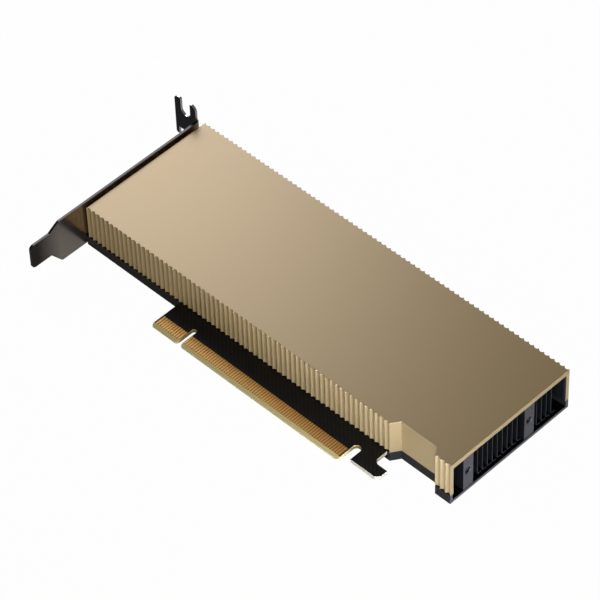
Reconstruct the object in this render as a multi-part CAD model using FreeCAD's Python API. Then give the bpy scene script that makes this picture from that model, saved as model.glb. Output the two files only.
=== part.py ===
import FreeCAD, Part
import math
import os
from FreeCAD import Vector

# Passive accelerator card: low profile, half length, one slot thick, cooled by the host's fans.
# Lengths are in millimetres. The origin is the centre of the back tray's underside.
# +X runs from the bracket to the air inlet, +Y from the edge connector to the card's top
# edge, and +Z from the back tray up to the cover.

# Cover: one machined channel with fluted sides, open at both ends
cover_length = 165.75
cover_width = 56.0
cover_height = 14.12
cover_wall = 1.9
cover_top = 2.4
flute_spacing = 2.18
flute_depth = 0.6
flute_land = 0.22
flute_floor = 0.8
inlet_chamfer = 0.45

# Recess in the connector side of cover and tray, counted in flutes from the inlet end
flutes_behind_recess = 3
flutes_in_recess = 9
recess_depth = 3.25
recess_slant = 2.2

# Back tray
tray_wall = 1.2
tray_floor = 1.0
tray_edge = 0.4
inlet_lip = 1.6
bracket_gap = 1.04

# Circuit board
board_thickness = 1.57
board_lift = 2.43
board_clearance = 0.2
board_front_gap = 0.4
board_behind_post = 0.55
cover_over_board = 0.35
board_screw_hole = 2.4
clamp_screw_hole = 3.0

# Edge connector, measured from the bracket's outer face and from the cover's side
key_from_bracket = 58.3
key_width = 1.9
key_depth = 8.25
connector_drop = 13.0
contact_pitch = 1.0
contact_width = 0.7
contact_thickness = 0.05
contact_start = 1.35
contact_end = 5.45
contacts_before_key = 11
contacts_after_key = 71
contact_beside_key = 1.5
connector_end_margin = 1.1
connector_corner = 0.8
bevel_length = 1.3
bevel_depth = 0.45

# Retention hook behind the connector
hook_gap = 3.1
hook_gap_depth = 8.75
hook_neck = 6.2
hook_reach = 11.9
hook_low = 2.75
hook_height = 4.4
hook_nose = 1.4
hook_inner_radius = 2.0

# Bracket: one folded sheet
sheet = 0.86
plate_width = 18.42
plate_low = 1.43
plate_short_of_edge = 1.5
plate_to_shoulder = 11.6
shoulder_slope = 4.4
shoulder_corner = 1.2
tongue_width = 10.2
tongue_middle = 12.1
tongue_length = 8.6
tongue_corner = 1.6
tab_reach = 11.43
tab_root_low = 11.2
tab_nib_low = 8.0
tab_nib_width = 1.5
tab_top = 25.6
tab_far_corner = 1.2
tab_notch_width = 4.5
tab_notch_middle = 6.2
tab_notch_bottom = 18.6
tab_near_round = 2.4
bend_radius = 0.3
vent_across = 3.0
vent_pitch = 3.9
vent_rows = 3
vent_margin = 2.0

# Posts between tray and cover, at the inlet and behind the bracket
post_width = 4.6
inlet_post_depth = 7.4
bracket_post_depth = 7.4
inlet_post_pitch = 28.7
inlet_post_from_recess = 1.15
inlet_post_setback = 0.25
bracket_post_from_wall = 1.8
post_fit = 0.1
extender_hole = 2.5
extender_hole_depth = 3.6
extender_hole_height = 9.25
extender_mouth = 3.2

# Screws
thin_thread = 2.0
thread_fit = 0.04
thin_head = 3.8
flat_head_height = 0.85
round_head_height = 1.3
socket_across = 1.3
socket_depth = 0.5
small_round_sides = 12
tray_screw_from_end = 2.2
tray_screw_bite = 1.5
bracket_screw_length = 4.2
clamp_thread = 2.5
clamp_head = 4.4
access_hole = 5.4

# Processor and its clamp
package_size = 37.5
package_height = 1.5
die_length = 25.4
die_width = 21.4
die_height = 0.8
compound_thickness = 0.1
processor_from_front = 82.875
processor_y = 1.0
clamp_thickness = 0.8
clamp_ring = 20.0
clamp_window = 13.0
clamp_arm = 4.2
boss_diameter = 5.0
boss_to_package = 0.25
boss_to_wall = 0.1

# Memory
memory_length = 14.0
memory_width = 12.0
memory_height = 1.2
memory_gap = 0.8
memory_beside_boss = 0.3

# Power circuit, in columns behind the bracket
choke_size = 7.0
choke_height = 4.0
choke_pad_thickness = 1.0
choke_gap = 1.2
choke_from_front = 31.0
stage_length = 5.0
stage_width = 6.0
stage_height = 0.9
stage_from_front = 22.0
can_diameter = 5.0
can_height = 4.5
can_seat = 5.4
can_seat_height = 0.8
can_from_front = 13.0
lead_inset = 0.5

# Support chips and the capacitors under the processor
controller_size = 12.0
controller_height = 1.0
controller_beside_memory = 3.7
controller_y = 8.0
flash_length = 6.0
flash_width = 5.0
flash_height = 0.9
flash_y = -8.0
chip_corner = 0.6
back_capacitor_length = 1.6
back_capacitor_width = 0.8
back_capacitor_height = 0.6
back_capacitor_pitch_x = 2.6
back_capacitor_pitch_y = 1.8
back_capacitor_columns = 4
back_capacitor_rows = 5

# Heatsink: a stepped base and separate folded fins
base_thickness = 2.0
step_thickness = 1.6
step_web = 2.0
base_side_gap = 0.7
base_behind_post = 0.5
step_behind_choke = 3.6
base_before_post = 0.65
fin_thickness = 0.35
fin_pitch = 2.32
fin_from_wall = 2.02
fin_side_bay = 3.5
fin_foot_gap = 0.25
fin_bend = 0.6
fin_low_at_inlet = 2.9
fin_setback = 0.65
fin_headroom = 0.1
fin_to_post = 0.6
fin_overhang_gap = 0.3

# Board screws, set in from the board's edges
board_screw_inset = 3.0
board_screw_from_post = 4.7
board_screw_from_memory = 3.2
board_boss = 4.6

# Heights that follow from the sizes above
tray_height = board_lift + board_thickness + cover_over_board
z_board_low = board_lift
z_board = board_lift + board_thickness
z_cover = tray_height + cover_height
z_ceiling = z_cover - cover_top
z_die = z_board + package_height + die_height
z_base = z_die + compound_thickness
z_base_top = z_base + base_thickness
z_step = z_board + choke_height + choke_pad_thickness
z_step_top = z_step + step_thickness
z_bracket_screw = (tray_height + z_ceiling) / 2

# Places along and across the card
x_front = -cover_length / 2
x_inlet = cover_length / 2
y_edge = -cover_width / 2
y_far = cover_width / 2
x_plate_inner = x_front - bracket_gap
x_plate_outer = x_plate_inner - sheet
y_tip = y_edge - connector_drop
flute_count = round(cover_length / flute_spacing)
flute_pitch = cover_length / flute_count
x_recess_end = x_inlet - flutes_behind_recess * flute_pitch
x_recess_start = x_recess_end - flutes_in_recess * flute_pitch

# Posts, and what stops short of them
y_inlet_post = y_edge + recess_depth + cover_wall + inlet_post_from_recess + post_width / 2
inlet_post_places = [y_inlet_post, y_inlet_post + inlet_post_pitch]
y_bracket_post = y_far - cover_wall - bracket_post_from_wall - post_width / 2
bracket_post_places = [-y_bracket_post, y_bracket_post]
x_inlet_post = x_inlet - inlet_post_setback
x_inlet_post_back = x_inlet_post - inlet_post_depth
x_bracket_post_back = x_plate_inner + bracket_post_depth
x_inlet_screw = x_inlet_post_back + tray_screw_from_end
x_bracket_screw = x_bracket_post_back - tray_screw_from_end
x_base_front = x_bracket_post_back + base_behind_post
x_base_end = x_inlet_post_back - base_before_post
x_board_front = x_plate_inner + tray_wall + board_front_gap
x_board_end = x_inlet_post_back - board_behind_post
board_inset = tray_wall + board_clearance
vent_run = 2 * (y_bracket_post - post_width / 2 - vent_margin) - vent_across
vent_columns = 1 + math.floor(vent_run / vent_pitch)

# Connector and hook
x_key = x_plate_outer + key_from_bracket
x_connector_start = x_key - contact_beside_key - (contacts_before_key - 1) * contact_pitch
x_connector_start -= connector_end_margin
x_connector_end = x_key + contact_beside_key + (contacts_after_key - 1) * contact_pitch
x_connector_end += connector_end_margin
x_hook = x_connector_end + hook_gap
x_neck_end = x_hook + hook_neck

# What stands on the board and under the fins
x_processor = x_front + processor_from_front
clamp_x = package_size / 2 + boss_to_package + boss_diameter / 2
clamp_y = y_far - cover_wall - boss_to_wall - boss_diameter / 2 - processor_y
clamp_places = [
    (x_processor + side_x * clamp_x, processor_y + side_y * clamp_y)
    for side_x in (-1, 1)
    for side_y in (-1, 1)
]
inner_width = cover_width - 2 * (cover_wall + base_side_gap)
memory_pitch = memory_width + memory_gap
memory_rows = math.floor((inner_width + memory_gap) / memory_pitch)
memory_offset = clamp_x + boss_diameter / 2 + memory_beside_boss + memory_length / 2
memory_reach = memory_offset + memory_length / 2
choke_pitch = choke_size + choke_gap
power_row_count = math.floor((inner_width + choke_gap) / choke_pitch)
x_controller = x_processor + memory_reach + controller_beside_memory + controller_size / 2
x_step = x_front + choke_from_front + choke_size / 2 + step_behind_choke
first_fin_y = y_edge + cover_wall + fin_from_wall
fin_count = math.floor((y_far - cover_wall - fin_side_bay + fin_foot_gap - first_fin_y) / fin_pitch)
x_front_screw = x_board_front + board_screw_inset
x_memory_screw = x_processor - memory_reach - board_screw_from_memory
x_rear_screw = x_board_end - board_screw_inset
y_front_screw = y_bracket_post - post_width / 2 - board_screw_from_post
y_side_screw = y_far - board_inset - board_screw_inset
board_screw_places = [
    (x_front_screw, -y_front_screw),
    (x_front_screw, y_front_screw),
    (x_memory_screw, -y_side_screw),
    (x_memory_screw, y_side_screw),
    (x_rear_screw, recess_depth - y_side_screw),
    (x_rear_screw, y_side_screw),
]
beyond = 2.0


def block(x_low, x_high, y_low, y_high, z_low, z_high):
    """Box between two corners."""
    size = (x_high - x_low, y_high - y_low, z_high - z_low)
    return Part.makeBox(size[0], size[1], size[2], Vector(x_low, y_low, z_low))


def rod(start, direction, diameter, length):
    """Round bar from a start point along a direction."""
    return Part.makeCylinder(diameter / 2, length, Vector(*start), Vector(*direction))


def small_ring(diameter, z):
    """Corners that stand for a small circle round the Z axis."""
    turn = 2 * math.pi / small_round_sides
    return [
        Vector(diameter / 2 * math.cos(index * turn), diameter / 2 * math.sin(index * turn), z)
        for index in range(small_round_sides)
    ]


def flat_face(corners):
    """Flat face inside a line of corners."""
    return Part.Face(Part.makePolygon(corners + corners[:1]))


def small_rod(start, direction, diameter, length):
    """Small round bar or hole. Its few flats keep the many screws light."""
    bar = flat_face(small_ring(diameter, 0)).extrude(Vector(0, 0, length))
    return turned(bar, start, direction)


def small_cone(diameter, end_diameter, height):
    """Small round taper that stands on the origin, with a flat for each side of its ring."""
    low = small_ring(diameter, 0)
    high = small_ring(end_diameter, height)
    faces = [flat_face(low[::-1]), flat_face(high)]
    for index in range(small_round_sides):
        faces.append(flat_face([low[index - 1], low[index], high[index], high[index - 1]]))
    return Part.Solid(Part.Shell(faces))


def turned(shape, start, direction):
    """Shape made along +Z, turned along a direction and set at its start point."""
    result = shape.copy()
    result.Placement = FreeCAD.Placement(
        Vector(*start), FreeCAD.Rotation(Vector(0, 0, 1), Vector(*direction))
    )
    return result


def outline_face(steps):
    """Face inside a closed outline.

    The first step is the start. Each later one is a point at the end of a straight run,
    or a pair of points: one on an arc, and the one where that arc ends.
    """
    edges = []
    here = steps[0]
    for step in steps[1:]:
        if isinstance(step, tuple):
            through, end = step
            edges.append(Part.Arc(here, through, end).toShape())
        else:
            end = step
            edges.append(Part.makeLine(here, end))
        here = end
    if here.distanceToPoint(steps[0]) > 1e-6:
        edges.append(Part.makeLine(here, steps[0]))
    return Part.Face(Part.Wire(edges))


def joined(solids):
    """Several solids that meet, made one."""
    return solids[0].multiFuse(solids[1:]).removeSplitter()


def recessed_side(inset, z):
    """The four corners of the recess, on a line that lies an inset inside the outer side."""
    slope = math.hypot(recess_slant, recess_depth)
    shift = inset * (slope - recess_slant) / recess_depth
    y_out = y_edge + inset
    y_in = y_out + recess_depth
    return [
        Vector(x_recess_start - shift, y_out, z),
        Vector(x_recess_start + recess_slant - shift, y_in, z),
        Vector(x_recess_end - recess_slant + shift, y_in, z),
        Vector(x_recess_end + shift, y_out, z),
    ]


def recessed_plan(x_low, x_high, inset, z):
    """Rectangle of the card's plan with the recess in its connector side."""
    corners = [Vector(x_low, y_edge + inset, z)]
    corners += recessed_side(inset, z)
    corners += [
        Vector(x_high, y_edge + inset, z),
        Vector(x_high, y_far - inset, z),
        Vector(x_low, y_far - inset, z),
    ]
    return outline_face(corners)


def flutes(x_from, x_to, y_side, inward, z):
    """Outline steps of the flutes along a side, from one x to another.

    Each flute is a shallow valley with a narrow floor, between two narrow lands. Inward is
    +1 where the body lies towards +Y.
    """
    count = round(abs(x_to - x_from) / flute_pitch)
    stride = (x_to - x_from) / count
    half_land = math.copysign(flute_land / 2, stride)
    half_floor = math.copysign(flute_floor / 2, stride)
    y_floor = y_side + inward * flute_depth
    steps = []
    for index in range(count):
        x_start = x_from + index * stride
        x_middle = x_start + stride / 2
        steps += [
            Vector(x_start + half_land, y_side, z),
            Vector(x_middle - half_floor, y_floor, z),
            Vector(x_middle + half_floor, y_floor, z),
            Vector(x_start + stride - half_land, y_side, z),
        ]
    steps.append(Vector(x_to, y_side, z))
    return steps


def make_cover():
    """Fluted channel: top plate and two side walls, with chamfers round its air inlet."""
    z = tray_height
    steps = [Vector(x_front, y_edge, z)]
    steps += flutes(x_front, x_recess_start, y_edge, 1, z)
    steps += recessed_side(0, z)[1:]
    steps += flutes(x_recess_end, x_inlet, y_edge, 1, z)
    steps.append(Vector(x_inlet, y_far, z))
    steps += flutes(x_inlet, x_front, y_far, -1, z)
    body = outline_face(steps).extrude(Vector(0, 0, cover_height))
    duct = recessed_plan(x_front - beyond, x_inlet + beyond, cover_wall, z - beyond)
    body = body.cut(duct.extrude(Vector(0, 0, z_ceiling - z + beyond)))
    mouth = []
    for x, growth in ((x_inlet, inlet_chamfer), (x_inlet - inlet_chamfer, 0)):
        y_wall = y_far - cover_wall + growth
        corners = [
            Vector(x, -y_wall, z - beyond),
            Vector(x, y_wall, z - beyond),
            Vector(x, y_wall, z_ceiling + growth),
            Vector(x, -y_wall, z_ceiling + growth),
        ]
        mouth.append(Part.makePolygon(corners + corners[:1]))
    body = body.cut(Part.makeLoft(mouth, True))
    for x, y in tray_screw_places():
        depth = tray_screw_bite + thread_fit
        body = body.cut(small_rod((x, y, z_ceiling), (0, 0, 1), thin_thread + thread_fit, depth))
    return body


def tray_screw_places():
    """Where the four long screws pass through the posts."""
    places = [(x_inlet_screw, y) for y in inlet_post_places]
    return places + [(x_bracket_screw, y) for y in bracket_post_places]


def make_tray():
    """Folded and drilled back tray, open where the edge connector leaves it."""
    body = recessed_plan(x_plate_inner, x_inlet, 0, 0).extrude(Vector(0, 0, tray_height))
    lowest = [edge for edge in body.Edges if edge.BoundBox.ZMax < tray_edge]
    body = body.makeChamfer(tray_edge, lowest)
    hollow = recessed_plan(x_plate_inner + tray_wall, x_inlet - tray_wall, tray_wall, tray_floor)
    body = body.cut(hollow.extrude(Vector(0, 0, tray_height)))
    y_wall = y_far - tray_wall
    body = body.cut(
        block(x_inlet - tray_wall - beyond, x_inlet + beyond, -y_wall, y_wall, inlet_lip, tray_height + 1)
    )
    body = body.cut(
        block(
            x_connector_start - board_clearance,
            x_neck_end + board_clearance,
            y_edge - beyond,
            y_edge + recess_depth + board_inset,
            tray_floor,
            tray_height + 1,
        )
    )
    bosses = [
        small_rod((x, y, tray_floor / 2), (0, 0, 1), board_boss, z_board_low - tray_floor / 2)
        for x, y in board_screw_places
    ]
    body = joined([body] + bosses)
    for x, y in board_screw_places:
        body = body.cut(small_rod((x, y, tray_floor), (0, 0, 1), thin_thread + thread_fit, z_board_low))
    for x, y in clamp_places:
        body = body.cut(rod((x, y, -1), (0, 0, 1), access_hole, tray_floor + 2))
    for x, y in tray_screw_places():
        body = body.cut(flat_screw_space((x, y, 0), (0, 0, 1), tray_floor + 1))
    return body


def flat_screw(start, direction, length):
    """Countersunk screw with a six-sided socket. Start is the middle of its flat head."""
    head = small_cone(thin_head, thin_thread, flat_head_height)
    shank = small_rod((0, 0, flat_head_height), (0, 0, 1), thin_thread, length - flat_head_height)
    screw = joined([head, shank]).cut(socket())
    return turned(screw, start, direction)


def flat_screw_space(start, direction, length):
    """Countersunk hole that a flat screw fills with a little room."""
    room = 2 * thread_fit
    head = small_cone(thin_head + room, thin_thread + room, flat_head_height)
    shank = small_rod((0, 0, 0), (0, 0, 1), thin_thread + room, length)
    return turned(joined([head, shank]), start, direction)


def socket():
    """Six-sided driving socket that opens at the origin."""
    corners = [
        Vector(socket_across / math.sqrt(3) * math.cos(math.radians(60 * index)),
               socket_across / math.sqrt(3) * math.sin(math.radians(60 * index)), -1)
        for index in range(6)
    ]
    return outline_face(corners).extrude(Vector(0, 0, socket_depth + 1))


def round_screw(start, direction, thread, head, length):
    """Screw with a cylinder head. Start is under the head, where the shank begins."""
    cap = small_rod((0, 0, -round_head_height), (0, 0, 1), head, round_head_height)
    shank = small_rod((0, 0, 0), (0, 0, 1), thread, length)
    drive = socket()
    drive.translate(Vector(0, 0, -round_head_height))
    return turned(joined([cap, shank]).cut(drive), start, direction)


def tip_corner(x, z, body_side):
    """Outline steps round a corner of the connector's tip.

    Body side is +1 where the board lies towards +X of the corner, and -1 where it lies
    towards -X.
    """
    near = connector_corner * (1 - math.sqrt(0.5))
    through = Vector(x + body_side * near, y_tip + near, z)
    on_side = Vector(x, y_tip + connector_corner, z)
    on_tip = Vector(x + body_side * connector_corner, y_tip, z)
    if body_side > 0:
        return [on_side, (through, on_tip)]
    return [on_tip, (through, on_side)]


def make_board():
    """Board with its key notch, hook, bevelled tip, cut front corners and screw holes."""
    z = z_board_low
    y_low = y_edge + board_inset
    y_high = y_far - board_inset
    x_corner = x_bracket_post_back + board_clearance
    y_corner = bracket_post_places[1] - post_width / 2 - board_clearance
    key_radius = key_width / 2
    gap_radius = hook_gap / 2
    x_gap = x_connector_end + gap_radius
    y_gap = y_tip + hook_gap_depth - gap_radius
    y_hook = y_tip + hook_low
    y_hook_top = y_hook + hook_height
    x_nose = x_hook + hook_reach
    inner = hook_inner_radius
    diagonal = inner * (1 - math.sqrt(0.5))
    overlap = Vector(0, recess_depth + beyond, 0)
    steps = [Vector(x_connector_start, y_low, z) + overlap]
    steps += tip_corner(x_connector_start, z, 1)
    steps += tip_corner(x_key - key_radius, z, -1)
    steps += [
        Vector(x_key - key_radius, y_tip + key_depth - key_radius, z),
        (Vector(x_key, y_tip + key_depth, z), Vector(x_key + key_radius, y_tip + key_depth - key_radius, z)),
    ]
    steps += tip_corner(x_key + key_radius, z, 1)
    steps += tip_corner(x_connector_end, z, -1)
    steps += [
        Vector(x_connector_end, y_gap, z),
        (Vector(x_gap, y_gap + gap_radius, z), Vector(x_hook, y_gap, z)),
        Vector(x_hook, y_hook, z),
        Vector(x_nose - hook_nose, y_hook, z),
        Vector(x_nose, y_hook + hook_nose, z),
        Vector(x_nose, y_hook_top, z),
        Vector(x_neck_end + inner, y_hook_top, z),
        (Vector(x_neck_end + diagonal, y_hook_top + diagonal, z), Vector(x_neck_end, y_hook_top + inner, z)),
        Vector(x_neck_end, y_low, z) + overlap,
    ]
    connector = outline_face(steps).extrude(Vector(0, 0, board_thickness))
    plan = recessed_plan(x_board_front, x_inlet, board_inset, z).extrude(Vector(0, 0, board_thickness))
    plan = plan.common(block(x_board_front, x_board_end, y_low, y_high, z, z_board))
    board = joined([plan, connector])
    for side_low, side_high in ((y_low - 1, -y_corner), (y_corner, y_high + 1)):
        board = board.cut(block(x_board_front - 1, x_corner, side_low, side_high, z - 1, z_board + 1))
    x_low = x_connector_start - beyond
    run = Vector(x_connector_end - x_low + hook_gap / 2, 0, 0)
    for z_face, inward in ((z_board, -1), (z_board_low, 1)):
        wedge = outline_face([
            Vector(x_low, y_tip - bevel_length, z_face + inward * 2 * bevel_depth),
            Vector(x_low, y_tip + bevel_length, z_face),
            Vector(x_low, y_tip + bevel_length, z_face - inward * beyond),
            Vector(x_low, y_tip - bevel_length, z_face - inward * beyond),
        ])
        board = board.cut(wedge.extrude(run))
    for places, hole in ((board_screw_places, board_screw_hole), (clamp_places, clamp_screw_hole)):
        for x, y in places:
            board = board.cut(small_rod((x, y, z - 1), (0, 0, 1), hole, board_thickness + 2))
    return board


def make_contacts(z_low):
    """One row of gold contacts, before and after the key notch."""
    first = x_key - contact_beside_key - (contacts_before_key - 1) * contact_pitch
    middles = [first + index * contact_pitch for index in range(contacts_before_key)]
    second = x_key + contact_beside_key
    middles += [second + index * contact_pitch for index in range(contacts_after_key)]
    half = contact_width / 2
    z_high = z_low + contact_thickness
    contacts = [
        block(x - half, x + half, y_tip + contact_start, y_tip + contact_end, z_low, z_high)
        for x in middles
    ]
    return Part.makeCompound(contacts)


def shoulder_round(corner, slope_end):
    """Outline steps round the corner between the plate's long edge and its sloped shoulder."""
    along = Vector(0, 1, 0)
    down = (slope_end - corner).normalize()
    opening = along.getAngle(down) / 2
    reach = shoulder_corner / math.tan(opening)
    inward = (along + down).normalize()
    through = corner + inward * (shoulder_corner / math.sin(opening) - shoulder_corner)
    return [corner + along * reach, (through, corner + down * reach)]


def bracket_plate():
    """Flat part of the bracket: the plate with its sloped shoulders and its tongue."""
    x = x_plate_outer
    y_top = y_far - plate_short_of_edge - bend_radius - sheet
    y_body = y_edge - plate_to_shoulder
    z_high = plate_low + plate_width
    z_tongue_low = tongue_middle - tongue_width / 2
    z_tongue_high = tongue_middle + tongue_width / 2
    y_shoulder = y_body - shoulder_slope
    y_end = y_shoulder - tongue_length + tongue_corner
    round_in = tongue_corner * (1 - math.sqrt(0.5))
    steps = [Vector(x, y_top, plate_low), Vector(x, y_top, z_high)]
    steps += shoulder_round(Vector(x, y_body, z_high), Vector(x, y_shoulder, z_tongue_high))
    steps += [
        Vector(x, y_shoulder, z_tongue_high),
        Vector(x, y_end, z_tongue_high),
        (Vector(x, y_end - tongue_corner + round_in, z_tongue_high - round_in),
         Vector(x, y_end - tongue_corner, z_tongue_high - tongue_corner)),
        Vector(x, y_end - tongue_corner, z_tongue_low + tongue_corner),
        (Vector(x, y_end - tongue_corner + round_in, z_tongue_low + round_in),
         Vector(x, y_end, z_tongue_low)),
        Vector(x, y_shoulder, z_tongue_low),
    ]
    low_round = shoulder_round(Vector(x, y_body, plate_low), Vector(x, y_shoulder, z_tongue_low))
    through, end = low_round[1]
    steps += [end, (through, low_round[0])]
    return outline_face(steps).extrude(Vector(sheet, 0, 0))


def bracket_fold():
    """Quarter bend between the plate and the tab, with straight leads on both sides."""
    z = tab_root_low
    outer = bend_radius + sheet
    y_tab = y_far - plate_short_of_edge
    x_in = x_plate_outer - bend_radius
    y_in = y_tab - outer
    half = math.sqrt(0.5)
    steps = [
        Vector(x_plate_outer, y_in, z),
        Vector(x_plate_inner, y_in, z),
        (Vector(x_in + outer * half, y_in + outer * half, z), Vector(x_in, y_tab, z)),
        Vector(x_in, y_tab - sheet, z),
        (Vector(x_in + bend_radius * half, y_in + bend_radius * half, z), Vector(x_plate_outer, y_in, z)),
    ]
    return outline_face(steps).extrude(Vector(0, 0, plate_low + plate_width - tab_root_low))


def bracket_tab():
    """Fastening tab with its screw notch between a long and a sloped finger."""
    y = y_far - plate_short_of_edge - sheet
    x_root = x_plate_outer - bend_radius
    x_end = x_plate_inner - tab_reach
    x_notch = x_plate_inner - tab_notch_middle
    radius = tab_notch_width / 2
    z_round = tab_notch_bottom + radius
    z_root_high = plate_low + plate_width
    corner = tab_far_corner
    near = tab_near_round
    steps = [
        Vector(x_root, y, tab_root_low),
        Vector(x_end + tab_nib_width, y, tab_root_low),
        Vector(x_end + tab_nib_width, y, tab_nib_low),
        Vector(x_end + tab_nib_width / 3, y, tab_nib_low),
        Vector(x_end, y, tab_nib_low + tab_nib_width / 3),
        Vector(x_end, y, tab_top - corner),
        Vector(x_end + corner, y, tab_top),
        Vector(x_notch - radius - corner / 2, y, tab_top),
        Vector(x_notch - radius, y, tab_top - corner / 2),
        Vector(x_notch - radius, y, z_round),
        (Vector(x_notch, y, tab_notch_bottom), Vector(x_notch + radius, y, z_round)),
        Vector(x_notch + radius, y, tab_top),
        Vector(x_root - near, y, tab_top),
        (Vector(x_root - near * (1 - math.sqrt(0.5)), y, tab_top - near * (1 - math.sqrt(0.5))),
         Vector(x_root, y, tab_top - near)),
        Vector(x_root, y, z_root_high),
    ]
    return outline_face(steps).extrude(Vector(0, sheet, 0))


def vent_holes():
    """Honeycomb of exhaust holes through the bracket's plate, between the two screws."""
    row_pitch = vent_pitch * math.sqrt(3) / 2
    z_middle = (tray_height + z_ceiling) / 2
    corner_radius = vent_across / math.sqrt(3)
    holes = []
    for row in range(vent_rows):
        z = z_middle + (row - (vent_rows - 1) / 2) * row_pitch
        in_row = vent_columns - row % 2
        for column in range(in_row):
            y = (column - (in_row - 1) / 2) * vent_pitch
            corners = []
            for index in range(6):
                angle = math.radians(30 + 60 * index)
                corners.append(Vector(
                    x_plate_outer - 1,
                    y + corner_radius * math.cos(angle),
                    z + corner_radius * math.sin(angle),
                ))
            holes.append(outline_face(corners).extrude(Vector(sheet + 2, 0, 0)))
    return holes


def make_bracket():
    """Bracket: plate, fold and tab in one sheet, vented and drilled for its screws."""
    body = joined([bracket_plate(), bracket_fold(), bracket_tab()])
    body = body.cut(Part.makeCompound(vent_holes()))
    for y in bracket_post_places:
        body = body.cut(flat_screw_space((x_plate_outer, y, z_bracket_screw), (1, 0, 0), sheet + 1))
    return body


def make_inlet_post(y):
    """Post behind the air inlet, stepped over the tray's lip, tapped for an extender."""
    lip_back = x_inlet - tray_wall - post_fit
    face = outline_face([
        Vector(x_inlet_post_back, y - post_width / 2, tray_floor),
        Vector(lip_back, y - post_width / 2, tray_floor),
        Vector(lip_back, y - post_width / 2, inlet_lip),
        Vector(x_inlet_post, y - post_width / 2, inlet_lip),
        Vector(x_inlet_post, y - post_width / 2, z_ceiling),
        Vector(x_inlet_post_back, y - post_width / 2, z_ceiling),
    ])
    post = face.extrude(Vector(0, post_width, 0))
    hole = rod((x_inlet_post, y, extender_hole_height), (-1, 0, 0), extender_hole, extender_hole_depth)
    mouth_depth = (extender_mouth - extender_hole) / 2
    mouth = Part.makeCone(extender_mouth / 2, extender_hole / 2, mouth_depth)
    mouth = turned(mouth, (x_inlet_post, y, extender_hole_height), (-1, 0, 0))
    post = post.cut(hole).cut(mouth)
    return post.cut(small_rod((x_inlet_screw, y, 0), (0, 0, 1), thin_thread + 2 * thread_fit, z_cover))


def make_bracket_post(y):
    """Post behind the bracket, stepped over the tray's end wall, for one bracket screw."""
    wall_back = x_plate_inner + tray_wall + post_fit
    face = outline_face([
        Vector(x_bracket_post_back, y - post_width / 2, tray_floor),
        Vector(wall_back, y - post_width / 2, tray_floor),
        Vector(wall_back, y - post_width / 2, tray_height),
        Vector(x_plate_inner, y - post_width / 2, tray_height),
        Vector(x_plate_inner, y - post_width / 2, z_ceiling),
        Vector(x_bracket_post_back, y - post_width / 2, z_ceiling),
    ])
    post = face.extrude(Vector(0, post_width, 0))
    depth = bracket_screw_length - sheet + thread_fit
    hole = small_rod((x_plate_inner, y, z_bracket_screw), (1, 0, 0), thin_thread + thread_fit, depth)
    post = post.cut(hole)
    return post.cut(small_rod((x_bracket_screw, y, 0), (0, 0, 1), thin_thread + 2 * thread_fit, z_cover))


def make_tray_screws():
    """Four long screws from the tray's underside through the posts into the cover."""
    length = z_ceiling + tray_screw_bite
    return Part.makeCompound([flat_screw((x, y, 0), (0, 0, 1), length) for x, y in tray_screw_places()])


def make_bracket_screws():
    """Two countersunk screws through the bracket into its posts."""
    screws = [
        flat_screw((x_plate_outer, y, z_bracket_screw), (1, 0, 0), bracket_screw_length)
        for y in bracket_post_places
    ]
    return Part.makeCompound(screws)


def make_board_screws():
    """Screws that hold the board down on the tray's bosses."""
    length = z_board - tray_floor - thread_fit
    screws = [
        round_screw((x, y, z_board), (0, 0, -1), thin_thread, thin_head, length)
        for x, y in board_screw_places
    ]
    return Part.makeCompound(screws)


def make_clamp_screws():
    """Screws from behind the board that pull the heatsink down on the processor."""
    z_head = z_board_low - clamp_thickness
    length = z_base - z_head
    screws = [
        round_screw((x, y, z_head), (0, 0, 1), clamp_thread, clamp_head, length)
        for x, y in clamp_places
    ]
    return Part.makeCompound(screws)


def make_clamp_plate():
    """Spring plate under the board: a square ring with an arm to each clamp screw."""
    z = z_board_low - clamp_thickness
    half = clamp_ring / 2
    pieces = [
        block(x_processor - half, x_processor + half, processor_y - half, processor_y + half, z, z_board_low)
    ]
    for x, y in clamp_places:
        along = Vector(x - x_processor, y - processor_y, 0)
        along.normalize()
        across = Vector(-along.y, along.x, 0) * (clamp_arm / 2)
        centre = Vector(x_processor, processor_y, z)
        end = Vector(x, y, z) + along * (clamp_arm / 2)
        face = outline_face([centre - across, end - across, end + across, centre + across])
        pieces.append(face.extrude(Vector(0, 0, clamp_thickness)))
    plate = joined(pieces)
    half = clamp_window / 2
    plate = plate.cut(
        block(x_processor - half, x_processor + half, processor_y - half, processor_y + half, z - 1, z_board)
    )
    for x, y in clamp_places:
        hole = small_rod((x, y, z - 1), (0, 0, 1), clamp_thread + 2 * thread_fit, clamp_thickness + 2)
        plate = plate.cut(hole)
    return plate


def chip(x, y, z, length, width, height):
    """Chip package with one corner cut off to mark its first pin."""
    x_low = x - length / 2
    x_high = x + length / 2
    y_low = y - width / 2
    y_high = y + width / 2
    return outline_face([
        Vector(x_low + chip_corner, y_low, z),
        Vector(x_high, y_low, z),
        Vector(x_high, y_high, z),
        Vector(x_low, y_high, z),
        Vector(x_low, y_low + chip_corner, z),
    ]).extrude(Vector(0, 0, height))


def memory_places():
    """Two columns of memory, one on each side of the processor."""
    places = []
    for side in (-1, 1):
        for row in range(memory_rows):
            y = (row - (memory_rows - 1) / 2) * memory_pitch
            places.append((x_processor + side * memory_offset, y))
    return places


def make_memory():
    """Memory chips beside the processor."""
    chips = [chip(x, y, z_board, memory_length, memory_width, memory_height) for x, y in memory_places()]
    return Part.makeCompound(chips)


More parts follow.
